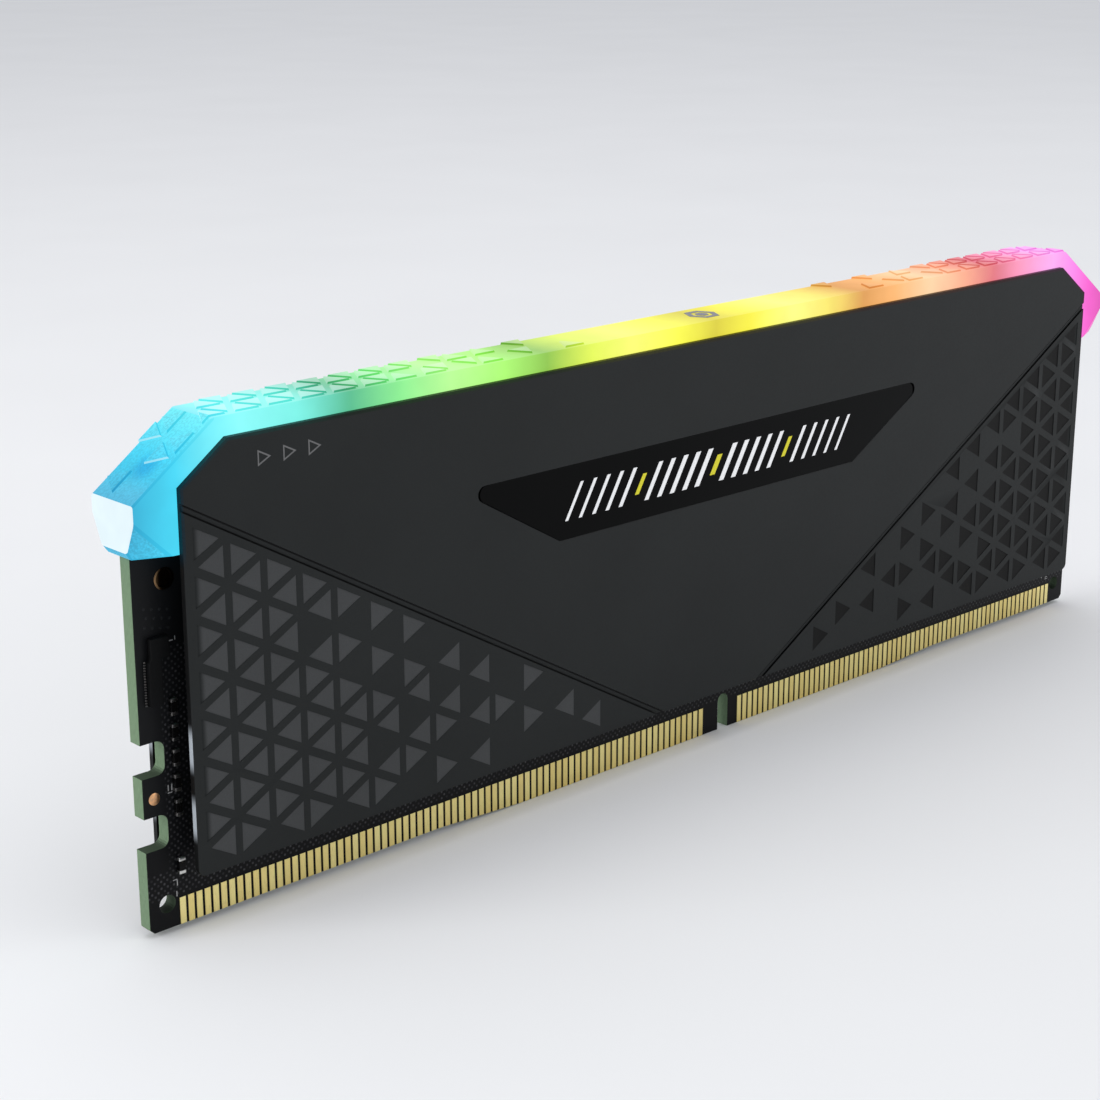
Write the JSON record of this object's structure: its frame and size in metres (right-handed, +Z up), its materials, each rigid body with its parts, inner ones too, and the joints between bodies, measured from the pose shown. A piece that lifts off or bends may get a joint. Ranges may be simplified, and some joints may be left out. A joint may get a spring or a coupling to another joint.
{
  "type": "desktop memory module",
  "caption": "Edge-card memory module between two dark metal heat spreaders, capped by a faceted translucent light bar.",
  "frame": {"origin": "middle of the card's bottom edge, on the board's mid-plane and halfway along its length", "axes": "+X along the card to the right as seen from the front, front face towards -Y, +Z up from the gold contacts to the light bar"},
  "size_m": [0.1352, 0.0066, 0.0445],
  "materials": {
    "solder_mask": "semi-matt black solder mask over glass-epoxy laminate, green-grey at the cut edges",
    "gold_contact": "hard gold plating",
    "painted_spreader": "fine satin charcoal coat on aluminium sheet",
    "badge_gloss": "high gloss black",
    "diffuser": "frosted translucent polycarbonate, lit from inside",
    "adhesive": "double-sided tape",
    "chip_body": "matt moulded epoxy",
    "capacitor_ceramic": "fired ceramic with tinned ends",
    "resistor_body": "black glazed body with tinned ends",
    "tin": "matt tin plating",
    "lamp_lens": "white package with a clear lens",
    "thermal_pad": "soft grey filled silicone",
    "foam": "black open-cell foam"
  },
  "bodies": {
    "root": {"adhesive_tape_front": "adhesive", "adhesive_tape_rear": "adhesive", "badge_front": "badge_gloss", "badge_rear": "badge_gloss", "circuit_board": "solder_mask", "contacts_front_left": "gold_contact", "contacts_front_right": "gold_contact", "contacts_rear_left": "gold_contact", "contacts_rear_right": "gold_contact", "controller_leads": "tin", "decoupler_1": "capacitor_ceramic", "decoupler_2": "capacitor_ceramic", "decoupler_3": "capacitor_ceramic", "decoupler_4": "capacitor_ceramic", "decoupler_5": "capacitor_ceramic", "decoupler_6": "capacitor_ceramic", "decoupler_7": "capacitor_ceramic", "decoupler_8": "capacitor_ceramic", "end_resistor_1": "resistor_body", "end_resistor_2": "resistor_body", "end_resistor_3": "resistor_body", "end_resistor_4": "resistor_body", "end_resistor_5": "resistor_body", "end_resistor_6": "resistor_body", "foam_pad_rear": "foam", "heat_spreader_front": "painted_spreader", "heat_spreader_rear": "painted_spreader", "identity_eeprom": "chip_body", "lamp_1": "lamp_lens", "lamp_2": "lamp_lens", "lamp_3": "lamp_lens", "lamp_4": "lamp_lens", "lamp_5": "lamp_lens", "lamp_6": "lamp_lens", "lamp_controller": "chip_body", "light_bar": "diffuser", "memory_chip_1": "chip_body", "memory_chip_2": "chip_body", "memory_chip_3": "chip_body", "memory_chip_4": "chip_body", "memory_chip_5": "chip_body", "memory_chip_6": "chip_body", "memory_chip_7": "chip_body", "memory_chip_8": "chip_body", "thermal_pad_front": "thermal_pad"}
  },
  "joints": []
}
